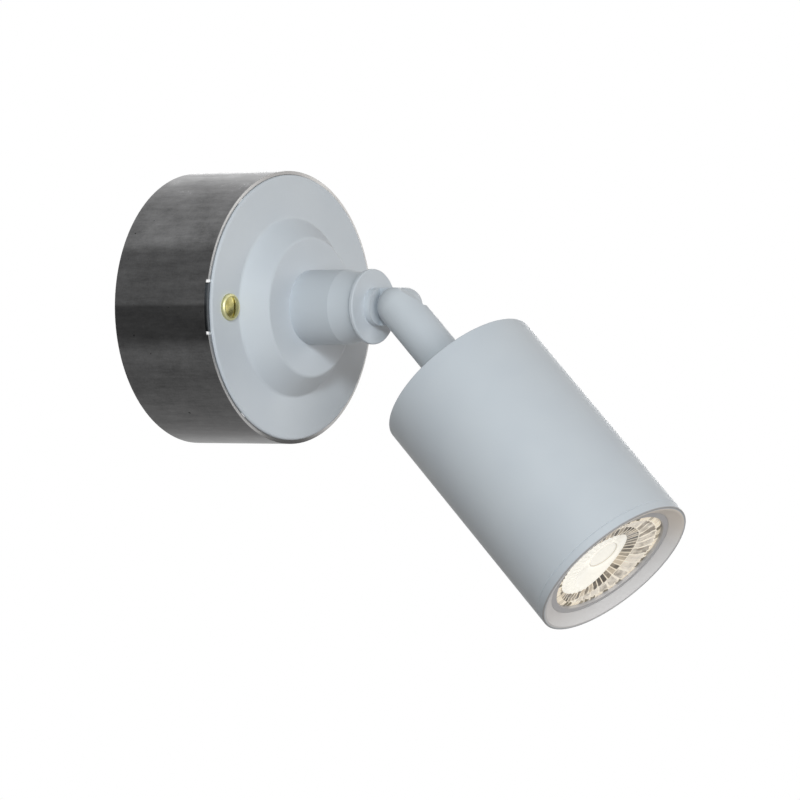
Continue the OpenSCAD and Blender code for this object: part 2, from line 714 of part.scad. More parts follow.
// Dark rim that holds the lens in the lamp
module lamp_rim() color("gray") from_pivot(lamp_foot) rotate_extrude() polygon([
    [lens_r + fit_gap, lamp_len], [rim_r, lamp_len], [rim_r, shoulder_at], [rim_seat_r, shoulder_at],
    [rim_seat_r, lens_back - ledge_t], [lens_r - ledge_w, lens_back - ledge_t],
    [lens_r - ledge_w, lens_back], [lens_r + fit_gap, lens_back]]);

// Front ring: lip, sloping bezel over the lamp's edge and a skirt inside the head
module front_ring() color("lightsteelblue") from_pivot() rotate_extrude() polygon(concat(
    [[skirt_r, seam - skirt_len], [skirt_r, seam], [head_r - seam_half, seam], [head_r, seam + seam_half]],
    arc([head_r - lip_round, mouth - lip_round], lip_round, 0, 90),
    [[head_r - lip_w, mouth], [opening_r, mouth - bezel_deep], [opening_r, mouth - bezel_deep - bezel_t],
        [skirt_r - skirt_wall, mouth - bezel_deep - bezel_t], [skirt_r - skirt_wall, seam - skirt_len]]));

mounting_bracket();
ring_housing();
cover_disc();
cover_screws();
cup_washers();
cover_nuts();
cable_bush();
terminal_block();
terminal_sleeves();
terminal_screws();
block_screw();
earth_stud();
earth_nuts();
stem();
stem_screws();
stop_pin();
swivel_knuckle();
swivel_stop();
swivel_washer();
swivel_nut();
pivot_washer();
knuckle_arm();
pivot_screw();
head_shell();
arm_lock_washer();
arm_nut();
holder_strap();
lamp_holder();
holder_contacts();
holder_screws();
holder_nuts();
lamp_housing();
lamp_base();
lamp_pins();
led_board();
lamp_lens();
lamp_rim();
front_ring();
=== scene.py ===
"""Pivoting spotlight wall light: steel ring and bracket, painted cover, swivelling stem and tilting head."""

import math

import bpy
import numpy as np
from mathutils import Matrix, Vector


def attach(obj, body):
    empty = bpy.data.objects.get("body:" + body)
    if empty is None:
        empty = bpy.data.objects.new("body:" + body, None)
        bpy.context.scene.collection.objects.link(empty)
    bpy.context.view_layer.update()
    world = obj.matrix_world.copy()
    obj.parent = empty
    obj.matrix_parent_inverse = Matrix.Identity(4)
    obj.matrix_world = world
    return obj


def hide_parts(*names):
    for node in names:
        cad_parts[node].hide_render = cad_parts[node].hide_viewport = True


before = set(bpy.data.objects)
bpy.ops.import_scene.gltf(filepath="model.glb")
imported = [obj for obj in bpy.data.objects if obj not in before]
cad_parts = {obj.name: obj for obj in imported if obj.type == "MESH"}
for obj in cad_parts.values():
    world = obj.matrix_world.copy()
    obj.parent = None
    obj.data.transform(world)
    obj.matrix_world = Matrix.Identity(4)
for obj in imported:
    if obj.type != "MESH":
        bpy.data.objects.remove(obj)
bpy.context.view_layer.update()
scene = bpy.context.scene
scene.view_settings.view_transform = "Standard"

# The view: a long lens from the left, level with the stem.
# Its place and turn are those from which the photograph of this light was taken.
VIEW_FROM = (-1.3785, -1.0827, -0.0136)
VIEW_AZIMUTH, VIEW_ELEVATION, VIEW_ROLL = (math.radians(a) for a in (-54.194, 0.639, -0.236))
VIEW_LENS, VIEW_SENSOR = 219.84, 36.0
VIEW_NEAR, VIEW_FAR = 0.05, 30.0


def heading(azimuth, elevation):
    """The unit vector from the light to a place at this azimuth, from straight ahead, and elevation.

    (sin azimuth * cos elevation, -cos azimuth * cos elevation, sin elevation)
    """
    level = math.cos(elevation)
    return Vector((math.sin(azimuth) * level, -math.cos(azimuth) * level, math.sin(elevation)))


camera = bpy.data.objects.new("camera", bpy.data.cameras.new("camera"))
camera.data.lens, camera.data.sensor_width = VIEW_LENS, VIEW_SENSOR
camera.data.clip_start, camera.data.clip_end = VIEW_NEAR, VIEW_FAR
back = heading(VIEW_AZIMUTH, VIEW_ELEVATION)
right = Matrix.Rotation(VIEW_ROLL, 3, back) @ Vector((0, 0, 1)).cross(back).normalized()
view_turn = Matrix((right, back.cross(right), back)).transposed()
camera.matrix_world = Matrix.Translation(VIEW_FROM) @ view_turn.to_4x4()
scene.collection.objects.link(camera)
scene.camera = camera

# The studio: a round pale table under the light, a white surround and four soft lamps.
# The main lamp stands at the left and a little above, so shadows fall to the lower right.
TABLE_R, TABLE_Z, TABLE_STEPS = 0.62, -0.26, 96
TABLE_MIDDLE = (0, -0.1, TABLE_Z)
TABLE_COLOUR = (0.58, 0.57, 0.56, 1)
WHITE_AT_MIDDLE = 0.6  # share of plain white over the lit table top; it grows to 1 at the edge
WHITE_GROWS = (0.3, TABLE_R - 0.02)
WHITE = (1, 1, 1, 1)
AMBIENT, AMBIENT_COLOUR = 0.16, (1.0, 0.88, 0.76, 1)
LAMPS_AIM_AT = (0, -0.08, -0.02)
LAMPS = (  # name, azimuth, elevation, distance, size, power, colour
    ("main_lamp", -58, 20, 1.7, 0.30, 13.6, (0.885, 0.965, 1.0)),
    ("front_lamp", -30, 6, 1.8, 0.8, 11.6, (1.0, 0.985, 0.97)),
    ("right_lamp", 60, 16, 1.8, 0.9, 5.6, (1.0, 0.95, 0.90)),
    ("back_lamp", 118, 8, 1.8, 0.9, 7.0, (1.0, 1.0, 1.0)),
)


class Wire:
    """One socket of a node tree. Arithmetic on wires adds Math nodes to that tree."""

    def __init__(self, tree, socket):
        self.tree, self.socket = tree, socket

    def node(self, kind, settings, values, output=0):
        """Adds a node: its settings first, then a number, a colour or a wire in each of its sockets."""
        made = self.tree.nodes.new(kind)
        for name, value in settings.items():
            setattr(made, name, value)
        for name, value in values.items():
            if isinstance(value, Wire):
                self.tree.links.new(value.socket, made.inputs[name])
            else:
                made.inputs[name].default_value = value
        return Wire(self.tree, made.outputs[output])

    def maths(self, operation, *others):
        """A Math node on this wire and any others."""
        return self.node("ShaderNodeMath", {"operation": operation}, dict(enumerate((self, *others))))

    def __add__(self, other):
        return self.maths("ADD", other)

    def __sub__(self, other):
        return self.maths("SUBTRACT", other)

    def __rsub__(self, other):
        return (self * -1.0).maths("ADD", other)

    def __mul__(self, other):
        return self.maths("MULTIPLY", other)

    __radd__, __rmul__ = __add__, __mul__

    def rise(self, low, high):
        """Smoothly 0 below low and 1 above high."""
        limits = {"Value": self, "From Min": low, "From Max": high}
        return self.node("ShaderNodeMapRange", {"interpolation_type": "SMOOTHSTEP"}, limits)

    def blend(self, first, second):
        """The first colour where this wire is 0, and the second where it is 1."""
        factor, colour_a, colour_b, colour_out = 0, 6, 7, 2
        values = {factor: self, colour_a: first, colour_b: second}
        return self.node("ShaderNodeMix", {"data_type": "RGBA"}, values, colour_out)

    def vector(self, operation, *others):
        """A Vector Math node on this wire and any others: SUBTRACT gives a vector, the rest a number."""
        output = 0 if operation == "SUBTRACT" else 1
        values = dict(enumerate((self, *others)))
        return self.node("ShaderNodeVectorMath", {"operation": operation}, values, output)

    def split(self):
        """The three numbers of this vector."""
        first = self.node("ShaderNodeSeparateXYZ", {}, {0: self})
        return tuple(Wire(self.tree, socket) for socket in first.socket.node.outputs)

    def noise(self, scale, detail=3.0, roughness=0.5):
        """Cloud noise with this many cells to the metre."""
        values = {"Vector": self, "Scale": scale, "Detail": detail, "Roughness": roughness}
        return self.node("ShaderNodeTexNoise", {}, values)

    def stretched(self, x, y, z):
        """The same place with each axis drawn out or squeezed."""
        return self.node("ShaderNodeMapping", {}, {"Vector": self, "Scale": (x, y, z)})

    def bump(self, distance, strength=1.0):
        """A normal from this height, where 1 stands this many metres proud."""
        values = {"Height": self, "Distance": distance, "Strength": strength}
        return self.node("ShaderNodeBump", {}, values)

    def into(self, shader, *sockets):
        """Feeds this wire into the shader's named sockets."""
        for name in sockets:
            self.tree.links.new(self.socket, shader.inputs[name])


def finish(name, **steady):
    """A material with one Principled shader that has these steady values.

    Gives the material, its shader and a wire on Object coordinates.
    """
    material = bpy.data.materials.new(name)
    material.use_nodes = True
    tree = material.node_tree
    shader = next(n for n in tree.nodes if n.type == "BSDF_PRINCIPLED")
    for socket, value in steady.items():
        shader.inputs[socket.replace("_", " ")].default_value = value
    return material, shader, Wire(tree, tree.nodes.new("ShaderNodeTexCoord").outputs["Object"])


def plain_rays(tree):
    """A wire that is 1 for camera, glossy and transmission rays, which see plain white round the light."""
    outputs = tree.nodes.new("ShaderNodeLightPath").outputs
    kinds = ("Camera", "Glossy", "Transmission")
    seen, mirrored, through = (Wire(tree, outputs[f"Is {kind} Ray"]) for kind in kinds)
    return (seen + mirrored + through).rise(0.0, 0.5)


def ring_points(radii, heights, tilt, start, count):
    """Points turned about an axis, for count angles a.

    start + height * axis + radius * (cos a * across + sin a * up)
    The axis lies in the plane x = 0, tilted down by tilt from straight out of the wall.
    """
    angle = 2 * np.pi * np.arange(count)[:, None] / count
    radii, heights = np.broadcast_arrays(radii, heights)
    radii, heights = (np.broadcast_to(v, (count, radii.shape[-1])) for v in (radii, heights))
    axis = np.array((0, -math.cos(tilt), -math.sin(tilt)))
    up = np.array((0, -math.sin(tilt), math.cos(tilt)))
    across = np.array((1.0, 0, 0))
    spoke = np.cos(angle)[..., None] * across + np.sin(angle)[..., None] * up
    return np.array(start) + heights[..., None] * axis + radii[..., None] * spoke


def skin(name, points, back_pole=None, front_pole=None):
    """A mesh over a grid of points that closes on itself round the first axis.

    Each face joins (i, j), (i+1, j), (i+1, j+1) and (i, j+1), which points outwards when the profile
    runs from the back round the outside to the front. A pole closes the first or the last ring with
    one triangle a step, (pole, i+1, i) or (i, i+1, pole). Its UV is the two parameters, from 0 to 1.
    """
    around, along = points.shape[:2]
    i, j = (g.ravel() for g in np.meshgrid(np.arange(around), np.arange(along - 1), indexing="ij"))
    after = (i + 1) % around
    corners = (i * along + j, after * along + j, after * along + j + 1, i * along + j + 1)
    faces = np.stack(corners, axis=1).tolist()
    u = np.stack((i, i + 1, i + 1, i), axis=1).ravel() / around
    v = np.stack((j, j, j + 1, j + 1), axis=1).ravel() / (along - 1)
    places = points.reshape(-1, 3).tolist()
    step = np.arange(around)
    next_step = (step + 1) % around
    for pole, ring_at, order in ((back_pole, 0, -1), (front_pole, along - 1, 1)):
        if pole is not None:
            places.append(tuple(pole))
            tip = np.full(around, len(places) - 1)
            fan = np.stack((step * along + ring_at, next_step * along + ring_at, tip), axis=1)
            faces += fan[:, ::order].tolist()
            fan_u = np.stack((step, step + 1, step + 0.5), axis=1)[:, ::order] / around
            u = np.concatenate((u, fan_u.ravel()))
            v = np.concatenate((v, np.full(3 * around, ring_at / (along - 1))))
    mesh = bpy.data.meshes.new(name)
    mesh.from_pydata(places, [], faces)
    uv = np.stack((u, v), axis=1).ravel().astype(np.float32)
    mesh.uv_layers.new(name="UVMap").data.foreach_set("uv", uv)
    mesh.polygons.foreach_set("use_smooth", np.ones(len(faces), bool))
    piece = bpy.data.objects.new(name, mesh)
    scene.collection.objects.link(piece)
    return piece


table_radii = np.array((TABLE_R, TABLE_R / 2))
table_rings = ring_points(table_radii, np.zeros(2), -math.pi / 2, TABLE_MIDDLE, TABLE_STEPS)
table = skin("table", table_rings, front_pole=TABLE_MIDDLE)
table_top, table_shader, spot = finish("table_top", Base_Color=TABLE_COLOUR, Roughness=0.8)
from_middle = spot.vector("DISTANCE", TABLE_MIDDLE)
white_share = WHITE_AT_MIDDLE + (1 - WHITE_AT_MIDDLE) * from_middle.rise(*WHITE_GROWS)
white_cover = plain_rays(table_top.node_tree) * white_share
lit = Wire(table_top.node_tree, table_shader.outputs[0])
unlit = spot.node("ShaderNodeEmission", {}, {"Color": WHITE, "Strength": 1.0})
table_look = spot.node("ShaderNodeMixShader", {}, {0: white_cover, 1: lit, 2: unlit})
table_look.into(next(n for n in table_top.node_tree.nodes if n.type == "OUTPUT_MATERIAL"), "Surface")
table.data.materials.append(table_top)

world = bpy.data.worlds.new("surround")
world.use_nodes = True
scene.world = world
world.node_tree.nodes.clear()
sees_white = plain_rays(world.node_tree)
soft = sees_white.node("ShaderNodeBackground", {}, {"Color": AMBIENT_COLOUR, "Strength": AMBIENT})
plain = sees_white.node("ShaderNodeBackground", {}, {"Color": WHITE, "Strength": 1.0})
surround = sees_white.node("ShaderNodeMixShader", {}, {0: sees_white, 1: soft, 2: plain})
surround.into(world.node_tree.nodes.new("ShaderNodeOutputWorld"), "Surface")

for lamp_name, azimuth, elevation, distance, size, power, colour in LAMPS:
    towards = heading(math.radians(azimuth), math.radians(elevation))
    lamp = bpy.data.objects.new(lamp_name, bpy.data.lights.new(lamp_name, "AREA"))
    lamp.data.shape, lamp.data.size = "DISK", size
    lamp.data.energy, lamp.data.color = power, colour
    lamp.location = Vector(LAMPS_AIM_AT) + towards * distance
    lamp.rotation_euler = towards.to_track_quat("Z", "Y").to_euler()
    scene.collection.objects.link(lamp)

# The mounting bracket: a zinc-plated steel strap bent to a plate on the wall and two legs.
# Its ears stand in the ring's notches and carry the cover screws. Their outer ends, in the gap under the
# cover's edge, are painted dark: painted shadow.
ZINC_DARK, ZINC_PALE, EAR_END_SHADOW = (0.40, 0.41, 0.42, 1), (0.56, 0.57, 0.58, 1), (0.13, 0.14, 0.15, 1)
EAR_END = (0.0463, 0.0466)


def dress(material, *names):
    """Gives CAD nodes this material in every slot that they have."""
    for name in names:
        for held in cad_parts[name].material_slots:
            held.material = material


zinc, zinc_shader, place = finish("zinc_plate", Metallic=1.0)
grain = place.noise(420.0, detail=4.0, roughness=0.6)
spangle = place.noise(160.0, detail=2.0)
plated = spangle.rise(0.3, 0.7).blend(ZINC_DARK, ZINC_PALE)
# The ears' outer ends are darker: painted shadow under the cover's edge.
ear_end_shadow = place.split()[0].maths("ABSOLUTE").rise(*EAR_END)
ear_end_shadow.blend(plated, EAR_END_SHADOW).into(zinc_shader, "Base Color")
(0.26 + 0.2 * grain).into(zinc_shader, "Roughness")
grain.bump(0.00002).into(zinc_shader, "Normal")
dress(zinc, "mounting_bracket")

# The cable bush: black rubber pushed into the bracket's hole, where the supply cable comes in.
# It is matt, with the faint skin that a mould leaves.
RUBBER_DARK, RUBBER_PALE = (0.018, 0.018, 0.019, 1), (0.035, 0.035, 0.036, 1)
rubber, rubber_shader, place = finish("black_rubber", Specular_IOR_Level=0.35)
mould_skin = place.noise(1400.0, detail=3.0, roughness=0.6)
mould_skin.blend(RUBBER_DARK, RUBBER_PALE).into(rubber_shader, "Base Color")
(0.62 + 0.2 * mould_skin).into(rubber_shader, "Roughness")
mould_skin.bump(0.00003).into(rubber_shader, "Normal")
dress(rubber, "cable_bush")

# The terminal block and the earth stud: white moulded plastic with brass sleeves and plated screws,
# and a plated stud with brass nuts. Both are fixed to the bracket's plate.
PLASTIC_DARK, PLASTIC_PALE = (0.74, 0.74, 0.72, 1), (0.8, 0.8, 0.78, 1)
BRASS_DARK, BRASS_PALE = (0.36, 0.32, 0.11, 1), (0.52, 0.475, 0.20, 1)
plastic, plastic_shader, place = finish("white_plastic", IOR=1.49)
mould = place.noise(900.0, detail=2.0)
mould.blend(PLASTIC_DARK, PLASTIC_PALE).into(plastic_shader, "Base Color")
(0.34 + 0.14 * mould).into(plastic_shader, "Roughness")
mould.bump(0.00001).into(plastic_shader, "Normal")
brass, brass_shader, place = finish("brass", Metallic=1.0)
tarnish = place.noise(350.0, detail=5.0, roughness=0.6)
fine = place.noise(2600.0, detail=2.0)
tarnish.rise(0.32, 0.7).blend(BRASS_DARK, BRASS_PALE).into(brass_shader, "Base Color")
(0.16 + 0.16 * tarnish + 0.05 * fine).into(brass_shader, "Roughness")
fine.bump(0.000008).into(brass_shader, "Normal")
dress(plastic, "terminal_block")
dress(brass, "terminal_sleeves", "earth_nuts")
dress(zinc, "block_screw", "terminal_screws", "earth_stud")

# The base ring: a short length of raw steel tube with a pale cut rim, lacquered but not painted; the rim
# also has a painted highlight at the sides and painted shade at the bottom.
# Drawing has left it streaked along its length, with mill stains and pits. Round it, its tone is painted in
# bands, darkest at the left side and lighter towards the top and bottom (painted reflection), with bright
# specks near the top (painted glints on rubbed marks).
# Its front rim has a notch at each side for the bracket's ears, with a painted highlight at the notch's
# corners.
SIDE_TONE, FAR_TONE = 0.033, 0.13
FAR_SIDE = (1.9, 2.9)  # radians round from the left side
RIM_OUT = (0.0406, 0.0409)
RIM_TONE, RIM_LEFT_HIGHLIGHT, RIM_RIGHT_HIGHLIGHT = 0.22, 0.15, 0.11
RIM_LEFT_GROWS, RIM_RIGHT_GROWS = (0.008, 0.034), (-0.002, 0.018)
RIM_BOTTOM_SHADE, RIM_BOTTOM_SHADE_SHARE = (-0.0483, -0.042), 0.25
CORNER_FROM, CORNER_TO = (0.0082, 0.0084), (0.0092, 0.0098)  # above and below the notch's middle
CORNER_OUT, CORNER_LEFT = (0.0398, 0.0403), (0.0452, 0.0456)
CORNER_GLINT_COLOUR = (0.95, 0.95, 0.95, 1)


def metal_grey(lightness, blue=1.0):
    """A grey colour of this lightness, with its blue scaled."""
    return lightness.node("ShaderNodeCombineXYZ", {}, {0: lightness, 1: lightness, 2: lightness * blue})


steel, steel_shader, place = finish("raw_steel", Metallic=1.0)
sideways, inwards, height = place.split()
left, outwards = sideways * -1.0, inwards * -1.0
turned = height.maths("ARCTAN2", left)  # radians up from the left side
below = turned * -1.0
stains = place.stretched(1.0, 0.8, 1.0).noise(110.0, detail=8.0, roughness=0.65)
drawn = place.stretched(1.0, 0.09, 1.0).noise(420.0, detail=5.0, roughness=0.6)
broad = place.stretched(1.0, 0.25, 1.0).noise(60.0)
specks = place.noise(1500.0, detail=2.0, roughness=0.6)
scratches = place.stretched(1.0, 0.3, 1.0).noise(1000.0, detail=4.0, roughness=0.7)
large_pits = place.noise(330.0, detail=1.0, roughness=0.6).rise(0.80, 0.84)
pits = large_pits + place.noise(900.0, detail=0.0).rise(0.86, 0.89)
wavy = turned + (broad - 0.5) * 0.12
wavy_below = below + (broad - 0.5) * 0.1
upper = wavy.rise(0.40, 0.52)
# Tone by angle round the ring: painted reflection, darkest at the left side, lighter towards the top and
# bottom, and a mid tone on the far side.
reflection_bands = SIDE_TONE + 0.038 * turned.rise(0.0, 0.035) + 0.064 * upper
for added, way, begins, full in (
    (0.044, wavy, 0.80, 1.05),
    (0.058, wavy_below, 0.20, 0.36),
    (0.020, below, 0.5, 0.95),
    (0.15, wavy, 1.02, 1.3),
    (0.05, below, 1.1, 1.35),
):
    reflection_bands = reflection_bands + added * way.rise(begins, full)
far_side = turned.maths("ABSOLUTE").rise(*FAR_SIDE)
reflection_bands = reflection_bands * (1.0 - far_side) + FAR_TONE * far_side
# Bright specks in a band near the top: painted glints on rubbed marks.
glint_zone = wavy.rise(0.95, 1.1) - wavy.rise(1.3, 1.5)
rub_glints = stains.rise(0.55, 0.65) * specks.rise(0.54, 0.64) * glint_zone * 0.16
stained = (stains - 0.5) * (0.9 + 0.4 * upper)
swing = 1.0 + stained + (drawn - 0.5) * 0.7 + (specks - 0.5) * 0.35 + (scratches - 0.5) * 0.6
steel_tone = reflection_bands * swing * (1.0 - 0.75 * pits) + rub_glints
# The cut rim: pale, with a painted highlight towards the left and the right, and painted shade towards the
# bottom.
rim_tone_and_highlight = RIM_TONE + RIM_LEFT_HIGHLIGHT * left.rise(*RIM_LEFT_GROWS) + RIM_RIGHT_HIGHLIGHT * sideways.rise(*RIM_RIGHT_GROWS)
rim_tone_and_highlight = rim_tone_and_highlight * (RIM_BOTTOM_SHADE_SHARE + (1 - RIM_BOTTOM_SHADE_SHARE) * height.rise(*RIM_BOTTOM_SHADE))
cut_rim = outwards.rise(*RIM_OUT)
off_middle = height.maths("ABSOLUTE")
# Bright white at the notch's corners: painted highlight.
corner_glint = off_middle.rise(*CORNER_FROM) - off_middle.rise(*CORNER_TO)
corner_glint = corner_glint * outwards.rise(*CORNER_OUT) * left.rise(*CORNER_LEFT)
steel_colour = cut_rim.blend(metal_grey(steel_tone, blue=1.01), metal_grey(rim_tone_and_highlight))
corner_glint.blend(steel_colour, CORNER_GLINT_COLOUR).into(steel_shader, "Base Color")
(0.22 + 0.2 * stains + 0.08 * specks).into(steel_shader, "Roughness")
(drawn * 0.5 + specks * 0.3 - pits * 1.5).bump(0.000015).into(steel_shader, "Normal")
dress(steel, "ring_housing")

# The cover: a spun steel disc with a domed step, under one coat of satin powder paint in pale blue-grey
# white. Two brass oval-head screws hold it, in duller cup washers, with a plated nut behind each ear.
PAINT_DARK, PAINT_PALE = (0.545, 0.590, 0.640, 1), (0.575, 0.618, 0.662, 1)
DULL_DARK, DULL_PALE = (0.56, 0.54, 0.29, 1), (0.66, 0.645, 0.38, 1)


def powder_coat(name):
    """The paint, with a soft skin that is only just uneven.

    Gives the material, its shader, a wire on Object coordinates and a wire of the paint's colour.
    """
    material, shader, spot_on = finish(name, IOR=1.5, Specular_IOR_Level=0.2)
    drift = spot_on.noise(38.0, detail=2.0)
    peel = spot_on.noise(1300.0, detail=2.0, roughness=0.4)
    (0.44 + 0.10 * peel).into(shader, "Roughness")
    peel.bump(0.00002, strength=0.6).into(shader, "Normal")
    return material, shader, spot_on, drift.rise(0.25, 0.75).blend(PAINT_DARK, PAINT_PALE)


paint, paint_shader, place, paint_colour = powder_coat("white_paint")
paint_colour.into(paint_shader, "Base Color")
dull_brass, dull_shader, place = finish("dull_brass", Metallic=1.0)
bloom = place.noise(500.0, detail=4.0, roughness=0.6)
bloom.rise(0.3, 0.7).blend(DULL_DARK, DULL_PALE).into(dull_shader, "Base Color")
(0.34 + 0.2 * bloom).into(dull_shader, "Roughness")
bloom.bump(0.00001).into(dull_shader, "Normal")
dress(paint, "cover_disc")
dress(brass, "cover_screws")
dress(dull_brass, "cup_washers")
dress(zinc, "cover_nuts")

# The stem: a turned, painted tube with a wider front part, held to the cover by three screws from behind.
# A plated pin in its bore stops the swivel at each end of its travel.
dress(paint, "stem")
dress(zinc, "stem_screws", "stop_pin")

# The swivel: a painted knuckle whose spigot turns in the stem's end.
# A stop ring and a wave washer sit on the spigot, and a brass nut holds them.
dress(paint, "swivel_knuckle")
dress(zinc, "swivel_stop", "swivel_washer")
dress(brass, "swivel_nut")

# The arm and the head: the arm's lug is screwed to the knuckle's with a spring washer, and its other
# end is held in the head's painted tube by a lock washer and a brass nut.
dress(paint, "knuckle_arm", "head_shell")
dress(zinc, "pivot_screw", "pivot_washer", "arm_lock_washer")
dress(brass, "arm_nut")

# The lamp holder: a glazed ceramic block that the lamp's pins plug and turn into, with brass contacts.
# It hangs from a zinc-plated strap inside the head by two screws and nuts.
GLAZE_DARK, GLAZE_PALE = (0.80, 0.78, 0.73, 1), (0.86, 0.85, 0.81, 1)
ceramic, ceramic_shader, place = finish("ceramic", IOR=1.52)
glaze = place.noise(600.0, detail=4.0, roughness=0.6)
glaze.blend(GLAZE_DARK, GLAZE_PALE).into(ceramic_shader, "Base Color")
(0.3 + 0.25 * glaze).into(ceramic_shader, "Roughness")
glaze.bump(0.00003).into(ceramic_shader, "Normal")
dress(ceramic, "lamp_holder")
dress(zinc, "holder_strap", "holder_screws", "holder_nuts")
dress(brass, "holder_contacts")

# The lamp: a moulded plastic housing and base with two plated pins, and a white circuit board inside.
# A grey clip ring holds the lens in its front.
BOARD_DARK, BOARD_PALE = (0.78, 0.78, 0.74, 1), (0.84, 0.84, 0.80, 1)
CLIP_DARK, CLIP_PALE = (0.54, 0.54, 0.56, 1), (0.60, 0.60, 0.62, 1)
board, board_shader, place = finish("circuit_board")
solder_mask = place.noise(500.0, detail=2.0)
solder_mask.blend(BOARD_DARK, BOARD_PALE).into(board_shader, "Base Color")
(0.4 + 0.15 * solder_mask).into(board_shader, "Roughness")
grey, grey_shader, place = finish("grey_rim")
matt = place.noise(1200.0)
matt.blend(CLIP_DARK, CLIP_PALE).into(grey_shader, "Base Color")
(0.45 + 0.2 * matt).into(grey_shader, "Roughness")
matt.bump(0.00002).into(grey_shader, "Normal")
dress(plastic, "lamp_housing", "lamp_base")
dress(zinc, "lamp_pins")
dress(board, "led_board")
dress(grey, "lamp_rim")

# The lens: one clear moulded optic, clipped in by the grey rim, with two rows of radial ribs in front.
# The ribs turn the light out of the cone round a bright centre, which has a deeper well.
# It is opaque here: its colour and a faint glow paint the lit lamp's bright cone behind it, set a little
# towards one side, and the light and dark seen through its ribs: painted light.
TILT = math.radians(45.0)
PIVOT = (0.0, -0.0881504, 0.0)
MOUTH = 0.1262
DOWN, OUT = math.sin(TILT), math.cos(TILT)
SLOPE_WAY, ACROSS_WAY, AXIS_WAY = (0.0, -DOWN, OUT), (1.0, 0.0, 0.0), (0.0, -OUT, -DOWN)
MM, MM_IN_M = 0.001, 1000.0
RIB_STEPS = 720
INNER_RIBS, INNER_FROM, INNER_WIDTH, INNER_CREST = 48, 13.5, 4.9, 0.3
OUTER_RIBS, OUTER_FROM, OUTER_WIDTH, OUTER_CREST = 60, 18.6, 3.4, 0.35
BACK_RADIUS = (2.0, 5.5, 12.4, 13.4, 21.9, 22.2, 22.28)
BACK_DEPTH = (13.9, 13.9, 6.6, 4.98, 4.98, 4.8, 4.4)
EDGE_RADIUS, WELL_RADIUS = (22.28, 22.2), (5.75, 5.6, 5.4, 3.0, 0.8)
FRONT_RADIUS = (0.0, 5.45, 5.75, 6.4, 13.4, 13.75, 18.3, 18.75, 21.9, 22.25, 22.3)
FRONT_DEPTH = (6.9, 6.9, 6.7, 6.15, 4.15, 4.0, 3.75, 3.7, 3.72, 3.8, 3.95)
CONE_POINT, WELL_POINT = 0.0139, 0.0069
MIDDLE_DEPTH, BRIGHT_X, BRIGHT_RISE = 0.004, -0.0062, -0.0015
CENTRE_EDGE, INNER_EDGE, OUTER_EDGE = (14.0, 14.4), (18.1, 18.5), (20.0, 20.2)
INNER_SEAM, OUTER_SEAM = 18.3, 19.95
WELL_FROM, WELL_TO, WELL_SHADE = (6.05, 6.2), (6.35, 6.5), 0.7
INNER_BARS, CELL_BARS, EDGE_BARS = (54, 3.7), (36, 61.2), (58, 19.4)  # how many, and a seed
INNER_DARK, INNER_PALE, INNER_LINE = (0.045, 0.034, 0.021, 1), (0.55, 0.47, 0.36, 1), (0.80, 0.72, 0.58, 1)
CELL_DARK, CELL_PALE, CELL_LINE = (0.20, 0.165, 0.12, 1), (0.70, 0.64, 0.55, 1), (0.86, 0.79, 0.67, 1)
EDGE_DARK, EDGE_PALE, EDGE_LINE = (0.15, 0.125, 0.075, 1), (0.82, 0.73, 0.58, 1), (0.84, 0.77, 0.64, 1)
CENTRE_GLOW_COLOUR, WELL_COLOUR = (0.97, 0.95, 0.87, 1), (0.50, 0.47, 0.40, 1)


def optic_points():
    """The optic's back cone, edge and front: two rows of ribs, then a shallow cone and a well.

    depth = depth(radius) - crest * sin(half circle across the row) ** 0.5 * |sin(ribs * angle / 2)|,
    for each row, turned about the head's axis at these depths behind its mouth, in millimetres.
    """
    angle = 2 * np.pi * np.arange(RIB_STEPS)[:, None] / RIB_STEPS
    outer_row, inner_row = np.linspace(22.0, 18.75, 14), np.linspace(18.3, 13.75, 20)
    shallow_cone = np.linspace(13.4, 6.2, 10)
    radius = np.concatenate((BACK_RADIUS, EDGE_RADIUS, outer_row, inner_row, shallow_cone, WELL_RADIUS))
    depth = np.interp(radius, FRONT_RADIUS, FRONT_DEPTH)
    depth[: len(BACK_DEPTH)] = BACK_DEPTH
    on_front = np.arange(len(radius)) > len(BACK_DEPTH)
    for ribs, begins, width, crest in (
        (INNER_RIBS, INNER_FROM, INNER_WIDTH, INNER_CREST),
        (OUTER_RIBS, OUTER_FROM, OUTER_WIDTH, OUTER_CREST),
    ):
        swell = np.sin(np.pi * np.clip((radius - begins) / width, 0, 1)) ** 0.5 * on_front
        depth = depth - crest * swell * np.abs(np.sin(ribs * angle / 2))
    return ring_points(radius * MM, MOUTH - depth * MM, TILT, PIVOT, RIB_STEPS)


def in_lamp(x, rise, depth):
    """The place this far across the lamp's axis, up its slope and behind its mouth, in metres.

    (x, pivot y - out * (mouth - depth) - down * rise, pivot z - down * (mouth - depth) + out * rise)
    """
    along = MOUTH - depth
    return (x, PIVOT[1] - OUT * along - DOWN * rise, PIVOT[2] - DOWN * along + OUT * rise)


def bars(turns, count, seed):
    """Splits a turn into bars: 1 on the line between two bars, and a number that differs for each bar."""
    bar = turns * float(count)
    number = bar.maths("FLOOR")
    line = ((bar - number - 0.5).maths("ABSOLUTE") * 2.0).rise(0.68, 0.9)
    return line, number.node("ShaderNodeTexWhiteNoise", {"noise_dimensions": "1D"}, {"W": number + seed})


def seam(distance, at, width):
    """1 on a fine circle at this distance, fading out over the width."""
    return 1.0 - (distance - at).maths("ABSOLUTE").rise(0.1, width)


